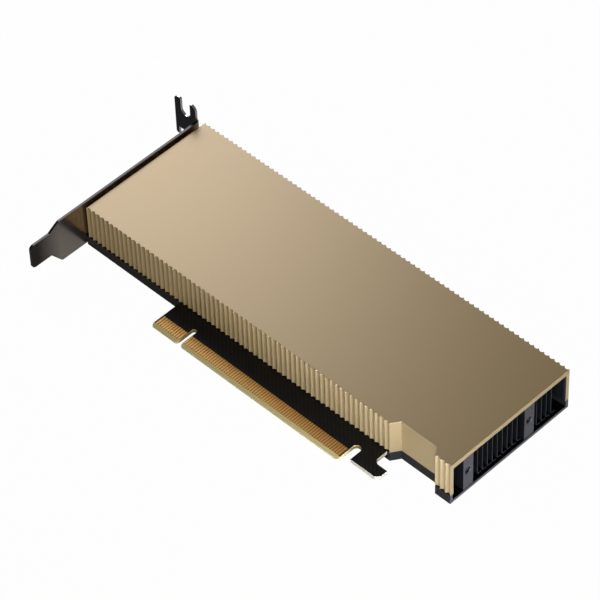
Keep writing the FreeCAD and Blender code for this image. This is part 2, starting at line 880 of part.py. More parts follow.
def make_memory_pads():
    """Soft pads that fill the space between the memory and the heatsink's base."""
    z_low = z_board + memory_height
    length = memory_length - 2 * lead_inset
    width = memory_width - 2 * lead_inset
    pads = [
        block(x - length / 2, x + length / 2, y - width / 2, y + width / 2, z_low, z_base)
        for x, y in memory_places()
    ]
    return Part.makeCompound(pads)


def power_rows():
    """The y of each row of the power circuit."""
    return [(row - (power_row_count - 1) / 2) * choke_pitch for row in range(power_row_count)]


def make_chokes():
    """Square moulded chokes with rounded upright edges."""
    x = x_front + choke_from_front
    half = choke_size / 2
    chokes = []
    for y in power_rows():
        body = block(x - half, x + half, y - half, y + half, z_board, z_board + choke_height)
        upright = [edge for edge in body.Edges if abs(edge.tangentAt(edge.FirstParameter).z) > 0.9]
        chokes.append(body.makeChamfer(chip_corner, upright))
    return Part.makeCompound(chokes)


def make_choke_pads():
    """Soft pads between the chokes and the raised step of the heatsink's base."""
    x = x_front + choke_from_front
    half = choke_size / 2 - lead_inset
    z_low = z_board + choke_height
    pads = [block(x - half, x + half, y - half, y + half, z_low, z_step) for y in power_rows()]
    return Part.makeCompound(pads)


def make_power_stages():
    """Flat power stage packages, one beside each choke."""
    x = x_front + stage_from_front
    stages = [chip(x, y, z_board, stage_length, stage_width, stage_height) for y in power_rows()]
    return Part.makeCompound(stages)


def make_can_capacitors():
    """Round cans on square seats, in the row nearest the bracket."""
    x = x_front + can_from_front
    cans = []
    for y in power_rows():
        seat = chip(x, y, z_board, can_seat, can_seat, can_seat_height)
        can = small_rod((x, y, z_board), (0, 0, 1), can_diameter, can_height)
        cans.append(joined([seat, can]))
    return Part.makeCompound(cans)


def make_back_capacitors():
    """Small ceramic capacitors under the processor, inside the clamp's window."""
    half_length = back_capacitor_length / 2
    half_width = back_capacitor_width / 2
    parts = []
    for column in range(back_capacitor_columns):
        x = x_processor + (column - (back_capacitor_columns - 1) / 2) * back_capacitor_pitch_x
        for row in range(back_capacitor_rows):
            y = processor_y + (row - (back_capacitor_rows - 1) / 2) * back_capacitor_pitch_y
            parts.append(block(
                x - half_length, x + half_length, y - half_width, y + half_width,
                z_board_low - back_capacitor_height, z_board_low,
            ))
    return Part.makeCompound(parts)


def make_base():
    """Heatsink base: a plate over processor and memory that steps up over the chokes."""
    y_low = y_edge + cover_wall + base_side_gap
    y_high = y_far - cover_wall - base_side_gap
    profile = outline_face([
        Vector(x_base_front, y_low, z_step),
        Vector(x_step, y_low, z_step),
        Vector(x_step, y_low, z_base),
        Vector(x_base_end, y_low, z_base),
        Vector(x_base_end, y_low, z_base_top),
        Vector(x_step + step_web, y_low, z_base_top),
        Vector(x_step + step_web, y_low, z_step_top),
        Vector(x_base_front, y_low, z_step_top),
    ])
    base = profile.extrude(Vector(0, y_high - y_low, 0))
    plan = recessed_plan(x_base_front - beyond, x_inlet, cover_wall + base_side_gap, z_base - beyond)
    base = base.common(plan.extrude(Vector(0, 0, cover_height)))
    boss_height = z_base_top - z_board
    bosses = [small_rod((x, y, z_board), (0, 0, 1), boss_diameter, boss_height) for x, y in clamp_places]
    base = joined([base] + bosses)
    bore_depth = z_base - z_board + 1
    for x, y in clamp_places:
        base = base.cut(small_rod((x, y, z_board - 1), (0, 0, 1), clamp_thread + thread_fit, bore_depth))
    return base


def fin_length_end(y):
    """How far a fin reaches towards the inlet: short ones stop before a post or the recess."""
    foot_end = y + fin_pitch - fin_foot_gap
    if y < y_edge + cover_wall + recess_depth + base_side_gap:
        return x_recess_start - fin_to_post - cover_wall
    if y < inlet_post_places[0] + post_width / 2 + fin_to_post:
        return x_base_end
    for y_post in inlet_post_places:
        y_low = y_post - post_width / 2 - fin_to_post
        y_high = y_post + post_width / 2 + fin_to_post / 2
        if foot_end > y_low and y < y_high:
            return x_base_end
    return x_inlet - fin_setback


def folded_strip(x_low, x_high, y, z_low):
    """Length of fin with its foot: an upright sheet folded towards +Y at its lower edge."""
    z_high = z_ceiling - fin_headroom
    foot = y + fin_pitch - fin_foot_gap
    inner_bend = fin_bend - fin_thickness * (2 - math.sqrt(2))
    return outline_face([
        Vector(x_low, y, z_high),
        Vector(x_low, y, z_low + fin_bend),
        Vector(x_low, y + fin_bend, z_low),
        Vector(x_low, foot, z_low),
        Vector(x_low, foot, z_low + fin_thickness),
        Vector(x_low, y + fin_thickness + inner_bend, z_low + fin_thickness),
        Vector(x_low, y + fin_thickness, z_low + fin_thickness + inner_bend),
        Vector(x_low, y + fin_thickness, z_high),
    ]).extrude(Vector(x_high - x_low, 0, 0))


def make_fins():
    """Fins: each one folded sheet that follows the base and drops behind it at the inlet."""
    fins = []
    x_drop = x_base_end + fin_overhang_gap
    for index in range(fin_count):
        y = first_fin_y + index * fin_pitch
        x_end = fin_length_end(y)
        strips = [folded_strip(x_base_front, x_step + step_web, y, z_step_top)]
        strips.append(folded_strip(x_step + step_web, min(x_end, x_base_end), y, z_base_top))
        if x_end > x_drop:
            bridge = block(x_base_end, x_drop, y, y + fin_thickness, z_base_top, z_ceiling - fin_headroom)
            strips.append(bridge)
            strips.append(folded_strip(x_drop, x_end, y, fin_low_at_inlet))
        fins.append(joined(strips))
    return Part.makeCompound(fins)


def make_parts():
    """Every piece by its name."""
    half_x = die_length / 2
    half_y = die_width / 2
    die_box = (x_processor - half_x, x_processor + half_x, processor_y - half_y, processor_y + half_y)
    z_package = z_board + package_height
    return {
        "cover": make_cover(),
        "back_tray": make_tray(),
        "bracket": make_bracket(),
        "circuit_board": make_board(),
        "contacts_top": make_contacts(z_board),
        "contacts_bottom": make_contacts(z_board_low - contact_thickness),
        "processor_package": chip(
            x_processor, processor_y, z_board, package_size, package_size, package_height
        ),
        "processor_die": block(*die_box, z_package, z_die),
        "thermal_compound": block(*die_box, z_die, z_base),
        "memory_chips": make_memory(),
        "memory_pads": make_memory_pads(),
        "power_chokes": make_chokes(),
        "choke_pads": make_choke_pads(),
        "power_stages": make_power_stages(),
        "can_capacitors": make_can_capacitors(),
        "board_controller": chip(
            x_controller, controller_y, z_board, controller_size, controller_size, controller_height
        ),
        "flash_memory": chip(x_controller, flash_y, z_board, flash_length, flash_width, flash_height),
        "back_capacitors": make_back_capacitors(),
        "heatsink_base": make_base(),
        "heatsink_fins": make_fins(),
        "inlet_post_lower": make_inlet_post(inlet_post_places[0]),
        "inlet_post_upper": make_inlet_post(inlet_post_places[1]),
        "bracket_post_lower": make_bracket_post(bracket_post_places[0]),
        "bracket_post_upper": make_bracket_post(bracket_post_places[1]),
        "clamp_plate": make_clamp_plate(),
        "clamp_screws": make_clamp_screws(),
        "board_screws": make_board_screws(),
        "bracket_screws": make_bracket_screws(),
        "tray_screws": make_tray_screws(),
    }


os.makedirs("parts", exist_ok=True)
for name, shape in make_parts().items():
    shape.exportStep("parts/" + name + ".step")
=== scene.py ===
import math

import bpy
import numpy as np
from mathutils import Euler, Matrix, Vector


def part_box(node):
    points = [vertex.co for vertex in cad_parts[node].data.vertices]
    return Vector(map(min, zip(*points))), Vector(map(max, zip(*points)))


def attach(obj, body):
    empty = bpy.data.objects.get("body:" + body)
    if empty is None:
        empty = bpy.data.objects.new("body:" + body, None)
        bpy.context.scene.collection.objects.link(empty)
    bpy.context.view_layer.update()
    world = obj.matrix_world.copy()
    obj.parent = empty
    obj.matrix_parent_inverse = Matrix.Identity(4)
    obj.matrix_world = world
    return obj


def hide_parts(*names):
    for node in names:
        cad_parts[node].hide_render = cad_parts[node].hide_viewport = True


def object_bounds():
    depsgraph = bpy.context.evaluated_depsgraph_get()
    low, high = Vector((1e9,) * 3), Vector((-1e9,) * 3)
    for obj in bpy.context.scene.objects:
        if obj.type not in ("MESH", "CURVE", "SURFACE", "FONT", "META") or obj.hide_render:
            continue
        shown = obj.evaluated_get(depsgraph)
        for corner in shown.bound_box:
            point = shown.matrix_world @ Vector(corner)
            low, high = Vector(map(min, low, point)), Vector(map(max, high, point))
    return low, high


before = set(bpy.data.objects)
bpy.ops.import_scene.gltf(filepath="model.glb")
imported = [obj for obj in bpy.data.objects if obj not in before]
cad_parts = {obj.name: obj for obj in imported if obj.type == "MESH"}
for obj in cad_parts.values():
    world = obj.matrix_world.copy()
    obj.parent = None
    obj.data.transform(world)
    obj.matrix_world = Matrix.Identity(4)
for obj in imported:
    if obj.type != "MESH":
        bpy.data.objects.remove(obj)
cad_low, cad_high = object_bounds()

# Camera
# The view down on the card from its connector side and its air inlet, a little over a metre
# away. The lens is long, so the card's edges stay nearly parallel.
camera_place = (0.5527, -0.5442, 0.8431)
camera_azimuth = math.radians(45.99)
camera_elevation = math.radians(46.96)
camera_roll = math.radians(-2.15)
camera_lens = 207.9
camera_sensor = 36.0
camera_near = 0.05

camera = bpy.data.objects.new("camera", bpy.data.cameras.new("camera"))
bpy.context.scene.collection.objects.link(camera)
camera.data.lens = camera_lens
camera.data.sensor_width = camera_sensor
camera.data.clip_start = camera_near
camera_turn = Euler((math.pi / 2 - camera_elevation, 0, camera_azimuth)).to_matrix()
camera.matrix_world = Matrix.Translation(camera_place) @ (
    camera_turn @ Matrix.Rotation(camera_roll, 3, "Z")
).to_4x4()
bpy.context.scene.camera = camera
bpy.context.scene.view_settings.view_transform = "Standard"

# Studio: pale floor and soft lamps
# A wide pale floor. The cover's top mirrors a large softbox behind the bracket end. Two strips
# below the top's level, and one large dim box, light the connector side and the air inlet.
floor_size = 12.0
floor_white = 0.5
floor_gap = 0.0002
camera_share = 0.985
mirrored_share = 0.1
world_level = 0.105
white = (1, 1, 1, 1)


def shader_node(tree, kind, inputs=(), **settings):
    """One node of a material. Each input is a plain value or another node's output."""
    node = tree.nodes.new(kind)
    for name, value in settings.items():
        setattr(node, name, value)
    for name, value in dict(inputs).items():
        if isinstance(value, bpy.types.NodeSocket):
            tree.links.new(value, node.inputs[name])
        else:
            node.inputs[name].default_value = value
    return node


def calculated(tree, operation, *values, **settings):
    """The result of one operation on plain values or outputs of nodes."""
    inputs = dict(enumerate(values))
    return shader_node(tree, "ShaderNodeMath", inputs, operation=operation, **settings).outputs[0]


def mixed_shaders(tree, share, first, second):
    """Two shaders by share: the first at 0, the second at 1."""
    inputs = {0: share, 1: first.outputs[0], 2: second.outputs[0]}
    return shader_node(tree, "ShaderNodeMixShader", inputs)


def empty_material(name):
    """A material with nothing in it, and the tree that its nodes go into."""
    material = bpy.data.materials.new(name)
    material.use_nodes = True
    material.node_tree.nodes.clear()
    return material, material.node_tree


def show(tree, shader):
    """Makes a shader the look of its material's surface."""
    shader_node(tree, "ShaderNodeOutputMaterial", {"Surface": shader.outputs[0]})


def studio_floor():
    """White to the camera, dim in mirrors, lit by the lamps, and clear when seen from below."""
    material, tree = empty_material("floor_white")
    rays = shader_node(tree, "ShaderNodeLightPath")
    mirrored = calculated(
        tree, "ADD", rays.outputs["Is Glossy Ray"], rays.outputs["Is Transmission Ray"]
    )
    in_mirror = calculated(tree, "MULTIPLY", mirrored, mirrored_share)
    share = calculated(tree, "MULTIPLY_ADD", rays.outputs["Is Camera Ray"], camera_share, in_mirror)
    lit = shader_node(tree, "ShaderNodeBsdfDiffuse", {"Color": (floor_white,) * 3 + (1,)})
    bright = shader_node(tree, "ShaderNodeEmission", {"Color": white, "Strength": 1.0})
    above = mixed_shaders(tree, share, lit, bright)
    side = shader_node(tree, "ShaderNodeNewGeometry")
    clear = shader_node(tree, "ShaderNodeBsdfTransparent")
    show(tree, mixed_shaders(tree, side.outputs["Backfacing"], above, clear))
    return material


def level_square(name, size, height):
    """A level square about the origin: four corners, one face."""
    half = size / 2
    corners = [
        (-half, -half, height), (half, -half, height), (half, half, height), (-half, half, height),
    ]
    mesh = bpy.data.meshes.new(name)
    mesh.from_pydata(corners, [], [(0, 1, 2, 3)])
    return mesh


floor = bpy.data.objects.new("floor", level_square("floor", floor_size, cad_low.z - floor_gap))
floor.data.materials.append(studio_floor())
bpy.context.scene.collection.objects.link(floor)

world = bpy.data.worlds.new("studio")
world.use_nodes = True
world_rays = shader_node(world.node_tree, "ShaderNodeLightPath")
world_strength = calculated(
    world.node_tree, "MULTIPLY_ADD",
    world_rays.outputs["Is Camera Ray"], 1.0 - world_level, world_level,
)
background = world.node_tree.nodes["Background"]
background.inputs["Color"].default_value = white
world.node_tree.links.new(world_strength, background.inputs["Strength"])
bpy.context.scene.world = world


def softbox(name, place, target, width, height, level, spread, colour):
    """A rectangular lamp that faces a target.

    Its level is the brightness of its face, and its spread is in degrees.
    """
    lamp = bpy.data.lights.new(name, "AREA")
    lamp.shape = "RECTANGLE"
    lamp.size = width
    lamp.size_y = height
    lamp.spread = math.radians(spread)
    lamp.energy = level * math.pi * width * height
    lamp.color = colour
    box = bpy.data.objects.new(name, lamp)
    box.visible_camera = False
    bpy.context.scene.collection.objects.link(box)
    facing = (Vector(target) - Vector(place)).to_track_quat("-Z", "Y")
    box.matrix_world = Matrix.Translation(place) @ facing.to_matrix().to_4x4()


softbox(
    "bracket_end_lamp", place=(-0.40, 0.22, 0.34), target=(-0.05, 0, 0),
    width=0.30, height=0.30, level=3.03, spread=180, colour=(0.98, 1.0, 1.2),
)
softbox(
    "side_strip", place=(0.16, -0.14, 0.0095), target=(0.06, -0.028, 0.0095),
    width=0.08, height=0.016, level=14.2, spread=90, colour=(0.85, 1.0, 1.6),
)
softbox(
    "connector_side_fill", place=(0.42, -0.40, 0.16), target=(0.078, -0.028, 0.01),
    width=0.50, height=0.30, level=1.05, spread=180, colour=(1.15, 0.95, 0.6),
)
softbox(
    "inlet_strip", place=(0.24, -0.04, 0.0095), target=(0.084, 0, 0.0095),
    width=0.14, height=0.016, level=31.0, spread=180, colour=(0.86, 1.0, 1.5),
)

# Back tray
# A shallow tray of sheet metal under the board, painted black. Its wall is cut away where the
# edge connector leaves it, and four screws come up through its floor near the corners.
tray_dark = (0.0125, 0.0113, 0.0085)
tray_light = (0.0165, 0.0148, 0.0110)
# Painted shade: the level rim is made near black for the shade under the flutes.
tray_rim_painted_shade = (0.002, 0.002, 0.002)
# Painted light: the lip that faces the air inlet is made grey for the light that falls on it.
lip_painted_light = (0.085, 0.078, 0.064)
tray_edge_round = 0.00015
rim_facing_up = 0.7
lip_facing_inlet = 0.95


def surface_grain(tree, scale):
    """A fine even grain over a surface, in the piece's own coordinates."""
    place = shader_node(tree, "ShaderNodeTexCoord")
    grain = shader_node(tree, "ShaderNodeTexNoise", {
        "Vector": place.outputs["Object"], "Scale": scale, "Detail": 4, "Roughness": 0.6,
    })
    return grain.outputs[0]


def axis_parts(tree, vector):
    """The X, Y and Z parts of a vector."""
    return shader_node(tree, "ShaderNodeSeparateXYZ", {0: vector}).outputs


def face_slope(tree):
    """The parts of the direction in which a face looks, each from -1 to 1."""
    facing = shader_node(tree, "ShaderNodeNewGeometry")
    return axis_parts(tree, facing.outputs["True Normal"])


def facing_part(tree, axis, low, high=2):
    """1 where the part of a face's direction along an axis lies between two limits, else 0.

    No part is over 1, so an upper limit of 2 is none.
    """
    slope = face_slope(tree)
    above = calculated(tree, "GREATER_THAN", slope[axis], low)
    below = calculated(tree, "LESS_THAN", slope[axis], high)
    return calculated(tree, "MULTIPLY", above, below)


def blend(tree, share, first, second):
    """Two colours by share: the first at 0, the second at 1.

    The node takes the colours at its inputs 6 and 7, and gives the result at its output 2.
    """
    colours = [
        colour if isinstance(colour, bpy.types.NodeSocket) else (*colour, 1)
        for colour in (first, second)
    ]
    inputs = {0: share, 6: colours[0], 7: colours[1]}
    return shader_node(tree, "ShaderNodeMix", inputs, data_type="RGBA").outputs[2]


def raised(tree, height, strength, depth, under=None):
    """The surface's direction with a fine height on it, over its own or another direction."""
    inputs = {"Height": height, "Strength": strength, "Distance": depth}
    if under is not None:
        inputs["Normal"] = under
    return shader_node(tree, "ShaderNodeBump", inputs).outputs[0]


def coat(tree, colour, roughness, specular, direction):
    """Covers a material with a dull coat."""
    show(tree, shader_node(tree, "ShaderNodeBsdfPrincipled", {
        "Base Color": colour, "Roughness": roughness, "Specular IOR Level": specular,
        "Normal": direction,
    }))


def tray_paint():
    """Black powder coat, with painted shade on the level rim and painted light on the inlet's lip.
    """
    material, tree = empty_material("tray_black")
    speckle = surface_grain(tree, 4000)
    upright = blend(tree, speckle, tray_dark, tray_light)
    # Painted shade on the level rim, painted light on the lip that faces the inlet.
    with_painted_rim_shade = blend(tree, facing_part(tree, "Z", rim_facing_up), upright, tray_rim_painted_shade)
    colour = blend(tree, facing_part(tree, "X", lip_facing_inlet), with_painted_rim_shade, lip_painted_light)
    soft = shader_node(tree, "ShaderNodeBevel", {"Radius": tray_edge_round}, samples=4)
    grained = raised(tree, speckle, strength=0.3, depth=0.00003, under=soft.outputs[0])
    coat(tree, colour, roughness=0.45, specular=0.35, direction=grained)
    return material


def dress(node, material):
    """Gives a solid of the frame its finish."""
    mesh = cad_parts[node].data
    mesh.materials.clear()
    mesh.materials.append(material)


tray_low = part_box("back_tray")[0]
dress("back_tray", tray_paint())

# Circuit board
# Glass laminate under black solder mask, screwed to the tray. The mask ends at a line above
# the contacts, and the routed edges and the bevelled tip show the pale core.
mask_line = 0.0055
hook_top = 0.0078
hook_from_contacts = 0.003
mask_black = (0.0075, 0.0086, 0.0108)
trace_black = (0.0135, 0.0150, 0.0180)
trace_step = 0.0018
diagonal_wave = 0.628
laminate_dark = (0.22, 0.10, 0.022)
laminate_light = (0.31, 0.155, 0.045)
core_dark = (0.84, 0.71, 0.25)
core_light = (0.95, 0.85, 0.38)
# Painted highlight: the core on the tip's bevel is made brighter than the core elsewhere.
bevel_painted_highlight = (1.0, 0.80, 0.32)
hook_core = (0.64, 0.56, 0.34)
level_facing = 0.98
bevel_facing = 0.2

board_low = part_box("circuit_board")[0]
contacts_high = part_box("contacts_top")[1]


def trace_lines(tree, place):
    """Faint wavy lines over the board.

    They are crests of diagonal waves, which repeat every 0.628 m along X at a scale of one.
    """
    waves = shader_node(tree, "ShaderNodeTexWave", {
        "Vector": place, "Scale": diagonal_wave / trace_step, "Distortion": 5.0,
        "Detail": 1.0, "Detail Scale": 0.12,
    }, bands_direction="DIAGONAL")
    crests = shader_node(tree, "ShaderNodeMapRange", {
        "Value": waves.outputs["Fac"], "From Min": 0.62, "From Max": 0.72,
    })
    return crests.outputs[0]


def masked_laminate():
    """Mask, bare laminate or core, by place and face slope; a painted highlight on the bevel."""
    material, tree = empty_material("board_mask")
    place = shader_node(tree, "ShaderNodeTexCoord").outputs["Object"]
    at = axis_parts(tree, place)
    past_gap = calculated(tree, "GREATER_THAN", at["X"], contacts_high.x + hook_from_contacts)
    below_neck = calculated(tree, "LESS_THAN", at["Y"], board_low.y + hook_top)
    on_hook = calculated(tree, "MULTIPLY", past_gap, below_neck)
    low = calculated(tree, "LESS_THAN", at["Y"], board_low.y + mask_line)
    bare = calculated(tree, "SUBTRACT", low, on_hook, use_clamp=True)
    flatness = calculated(tree, "ABSOLUTE", face_slope(tree)["Z"])
    side = calculated(tree, "LESS_THAN", flatness, level_facing)

    lines = trace_lines(tree, place)
    mask = blend(tree, lines, mask_black, trace_black)
    weave = shader_node(tree, "ShaderNodeTexNoise", {
        "Vector": place, "Scale": 1800, "Detail": 3,
    }).outputs[0]
    laminate = blend(tree, weave, laminate_dark, laminate_light)
    core = blend(tree, weave, core_dark, core_light)
    on_bevel = facing_part(tree, "Z", bevel_facing, level_facing)
    # The bevel's core colour is a painted highlight.
    routed = blend(tree, past_gap, blend(tree, on_bevel, core, bevel_painted_highlight), hook_core)
    colour = blend(tree, side, blend(tree, bare, mask, laminate), routed)
    traced = raised(tree, lines, strength=0.25, depth=0.00003)
    coat(tree, colour, roughness=0.5, specular=0.2, direction=traced)
    return material


dress("circuit_board", masked_laminate())

# Contacts
# Gold over nickel on copper, in one row on each face of the board's edge. They are plated on,
# so each is a thin pad with rounded ends.
contact_pitch = 0.001
contact_width = 0.0007
contact_corner = 0.00025
corner_steps = 4
key_gap = 0.003
contacts_before_key = 11
contacts_after_key = 71
gold = (0.84, 0.46, 0.11)
roughness_swing = 0.08


def two_tone(tree, share, colour, tone):
    """A colour that goes with a share from darker to lighter, by one tone each way."""
    dark = [channel * (1 - tone) for channel in colour]
    light = [channel * (1 + tone) for channel in colour]
    return blend(tree, share, dark, light)


def blasted_metal(
    name, colour, roughness, grain=2500, depth=0.00001, tone=0.06, metallic=1.0, clear_layer=0.0
):
    """Bead blasted or plated metal: a fine grain in its height, tone and roughness."""
    material, tree = empty_material(name)
    speckle = surface_grain(tree, grain)
    rough = shader_node(tree, "ShaderNodeMapRange", {
        "Value": speckle,
        "To Min": roughness * (1 - roughness_swing), "To Max": roughness * (1 + roughness_swing),
    })
    show(tree, shader_node(tree, "ShaderNodeBsdfPrincipled", {
        "Base Color": two_tone(tree, speckle, colour, tone), "Metallic": metallic,
        "Roughness": rough.outputs[0], "Normal": raised(tree, speckle, strength=0.35, depth=depth),
        "Coat Weight": clear_layer, "Coat Roughness": 0.35,
    }))
    return material


def sweep_faces(rows, columns):
    """Quads of a grid of rows and columns, with the last column joined to the first."""
    row, column = np.meshgrid(np.arange(rows - 1), np.arange(columns), indexing="ij")
    beside = (column + 1) % columns
    quads = np.stack([
        row * columns + column, row * columns + beside,
        (row + 1) * columns + beside, (row + 1) * columns + column,
    ], -1)
    return quads.reshape(-1, 4).tolist()


def joined(shapes):
    """Several shapes as one: their points in a row, and the faces numbered to match."""
    counts = [len(points) for points, faces in shapes]
    firsts = np.cumsum([0] + counts).tolist()
    every_face = []
    for first, (points, faces) in zip(firsts, shapes):
        every_face += [[first + corner for corner in face] for face in faces]
    return np.concatenate([points for points, faces in shapes]), every_face


def mesh_from(name, points, faces, sharp=30):
    """A mesh of points and faces, smooth but for the edges that turn by more than an angle."""
    mesh = bpy.data.meshes.new(name)
    mesh.from_pydata(points.tolist(), [], faces)
    mesh.polygons.foreach_set("use_smooth", [True] * len(mesh.polygons))
    mesh.set_sharp_from_angle(angle=math.radians(sharp))
    return mesh


def placed(name, mesh, materials, replaces=()):
    """Puts a finished mesh into the scene as a piece that rides on the card."""
    piece = bpy.data.objects.new(name, mesh)
    bpy.context.scene.collection.objects.link(piece)
    for material in materials:
        mesh.materials.append(material)
    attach(piece, "root")
    if replaces:
        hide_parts(*replaces)


def pad_outline(length, width, radius):
    """A rounded rectangle about the origin: four quarter circles joined by straights."""
    angle = np.linspace(0, math.pi / 2, corner_steps + 1)
    quarter = np.concatenate([angle + turn * math.pi / 2 for turn in range(4)])
    side_x = np.repeat([1, -1, -1, 1], corner_steps + 1) * (width / 2 - radius)
    side_y = np.repeat([1, 1, -1, -1], corner_steps + 1) * (length / 2 - radius)
    return np.stack([side_x + radius * np.cos(quarter), side_y + radius * np.sin(quarter)], -1)


def contact_row(name, low, high, bottom_side):
    """A row of pads: one outline on the board and again at the plating's height, repeated on X."""
    outline = pad_outline(high.y - low.y, contact_width, contact_corner)
    around = len(outline)
    faces = sweep_faces(2, around)
    faces += [list(range(around, 2 * around)), list(range(around))[::-1]]
    levels = [low.z, high.z]
    if bottom_side:
        faces = [face[::-1] for face in faces]
        levels = levels[::-1]
    middles = low.x + contact_width / 2 + contact_pitch * np.arange(
        contacts_before_key + contacts_after_key
    )
    middles[contacts_before_key:] += key_gap - contact_pitch
    height = np.repeat(levels, around)[:, None]
    pad = np.hstack([np.tile(outline + [0, (low.y + high.y) / 2], (2, 1)), height])
    mesh = mesh_from(name, *joined([(pad + [middle, 0, 0], faces) for middle in middles]))
    mesh.polygons.foreach_set("use_smooth", [False] * len(mesh.polygons))
    return mesh


hard_gold = blasted_metal("contact_gold", gold, roughness=0.38, grain=3000, metallic=0.6)
for node, bottom_side in (("contacts_top", False), ("contacts_bottom", True)):
    row_low, row_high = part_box(node)
    row_mesh = contact_row(node + "_pads", row_low, row_high, bottom_side)
    placed(node + "_pads", row_mesh, [hard_gold], replaces=[node])

# Chips, pads and the parts of the power circuit
# Moulded packages, pressed chokes and ceramic bodies, soldered to the board. Soft grey pads
# and a layer of compound join them to the heatsink.
chip_black = (0.015, 0.015, 0.015)
pad_grey = (0.3, 0.32, 0.33)


def painted(name, colour, roughness, grain=2500, depth=0.00001, specular=0.5):
    """A dull coat or moulded plastic with a fine grain."""
    material, tree = empty_material(name)
    speckle = surface_grain(tree, grain)
    mottled = two_tone(tree, speckle, colour, tone=0.1)
    coat(tree, mottled, roughness, specular, raised(tree, speckle, strength=0.3, depth=depth))
    return material


inner_looks = {
    "processor_package": ((0.03, 0.06, 0.035), 0.5),
    "processor_die": ((0.05, 0.05, 0.055), 0.15),
    "thermal_compound": ((0.35, 0.35, 0.36), 0.7),
    "memory_chips": (chip_black, 0.55),
    "memory_pads": (pad_grey, 0.8),
    "power_chokes": ((0.04, 0.04, 0.042), 0.6),
    "choke_pads": (pad_grey, 0.8),
    "power_stages": (chip_black, 0.5),
    "board_controller": (chip_black, 0.5),
    "flash_memory": (chip_black, 0.5),
    "back_capacitors": ((0.25, 0.15, 0.08), 0.5),
}
for node, (colour, roughness) in inner_looks.items():
    dress(node, painted(node + "_look", colour, roughness))
dress("can_capacitors", blasted_metal("can_aluminium", (0.62, 0.62, 0.64), roughness=0.3))

# Clamp plate
# A leaf of spring steel under the board. Four screws pull it and the heatsink together.
dress("clamp_plate", blasted_metal("spring_steel", (0.5, 0.49, 0.47), roughness=0.35))

# Heatsink
# A stepped base of aluminium with thin folded fins soldered on it, all black. The fins' ends
# look out of the air inlet.
base_black = (0.008, 0.008, 0.0085)
inside_black = (0.006, 0.006, 0.005)
# Painted light: the fins' ends are made lighter than the black of the rest.
fin_end_painted_light = (0.022, 0.022, 0.019)
front_facing_inlet = 0.5


def black_with_painted_lit_front(name, front):
    """Black coat, with painted light on the faces that look out of the air inlet."""
    material, tree = empty_material(name)
    speckle = surface_grain(tree, 3000)
    painted_light_colour = two_tone(tree, speckle, front, tone=0.08)
    # Painted light on the faces that look out of the air inlet.
    at_front = facing_part(tree, "X", front_facing_inlet)
    colour = blend(tree, at_front, inside_black, painted_light_colour)
    grained = raised(tree, speckle, strength=0.3, depth=0.00002)
    coat(tree, colour, roughness=0.4, specular=0.3, direction=grained)
    return material


heatsink_black = painted("heatsink_black", base_black, roughness=0.45, grain=3000, depth=0.00002)
dress("heatsink_base", heatsink_black)
dress("heatsink_fins", black_with_painted_lit_front("fin_black_painted_lit_end", fin_end_painted_light))

# Posts
# Blocks of dark anodised aluminium between tray and cover; painted light makes the faces that
# look out of the air inlet grey. The two at the air inlet are tapped for the screws of an
# extender, and their threads show in the holes.
tapped_height = 0.00925
tapped_radius = 0.00125
thread_depth = 0.00022
thread_pitch = 0.00045
thread_foot_share = 0.4
thread_sunk = 0.00001
thread_start = 0.00055
thread_turns = 6
thread_steps = 24

# Painted light: the faces that look out of the air inlet are grey, the other sides black.
post_black_painted_light = black_with_painted_lit_front("post_black_painted_light", (0.070, 0.063, 0.050))
for node in ("inlet_post_lower", "inlet_post_upper", "bracket_post_lower", "bracket_post_upper"):
    dress(node, post_black_painted_light)


def about_axis(start, direction, along, radius, angle):
    """Points at a distance along the X, Y or Z axis, at a radius and an angle about it."""
    axis = np.array(direction, float)
    across = np.array([axis[1], axis[2], axis[0]])
    third = np.cross(axis, across)
    along, radius, angle = np.broadcast_arrays(along, radius, angle)
    across_part = (radius * np.cos(angle))[..., None] * across
    third_part = (radius * np.sin(angle))[..., None] * third
    points = np.array(start) + (along[..., None] * axis + across_part + third_part)
    return points.reshape(-1, 3)


def thread_ridge(start, direction, root, crest, turns):
    """One three-sided ridge wound about an axis, and its faces.

    It advances by the pitch in each turn, and its feet lie a share of the pitch before and
    behind its crest. With the crest nearer to the axis than the root it lines a hole,
    otherwise it winds round a shank.
    """
    step = np.arange(turns * thread_steps + 1)[:, None]
    along = thread_pitch * (step / thread_steps + np.array([-1, 0, 1]) * thread_foot_share)
    angle = 2 * math.pi * step / thread_steps
    points = about_axis(start, direction, along, np.array([root, crest, root]), angle)
    last = len(points) - 3
    faces = sweep_faces(len(step), 3) + [[2, 1, 0], [last, last + 1, last + 2]]
    if crest > root:
        faces = [face[::-1] for face in faces]
    return points, faces


hole_threads = []
for node in ("inlet_post_lower", "inlet_post_upper"):
    post_low, post_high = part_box(node)
    mouth = (post_high.x - thread_start, (post_low.y + post_high.y) / 2, tray_low.z + tapped_height)
    hole_threads.append(thread_ridge(
        mouth, (-1, 0, 0), tapped_radius + thread_sunk, tapped_radius - thread_depth, thread_turns
    ))
thread_mesh = mesh_from("extender_threads", *joined(hole_threads))
thread_black = painted("thread_black", (0.008,) * 3, roughness=0.4, grain=3000, specular=0.3)
placed("extender_threads", thread_mesh, [thread_black])

# Cover
# One channel of aluminium, milled from bar: fluted outside, recessed in the connector side and
# black in its duct. It is blasted and anodised champagne gold, with a painted highlight on its
# edges near the inlet.
flute_count = 76
flutes_behind_recess = 3
flutes_in_recess = 9
flute_depth = 0.0006
flute_land = 0.00022
flute_steps = 12
cover_wall = 0.0019
cover_top = 0.0024
recess_depth = 0.00325
recess_slant = 0.0022
edge_round = 0.00012
edge_steps = 3
rim_break = 0.00012
inlet_chamfer = 0.00045
tiny = 1e-7
champagne = (0.605, 0.428, 0.162)
# Painted highlight on the cover's rounded edges near the inlet.
edge_painted_highlight = (0.70, 0.53, 0.27)

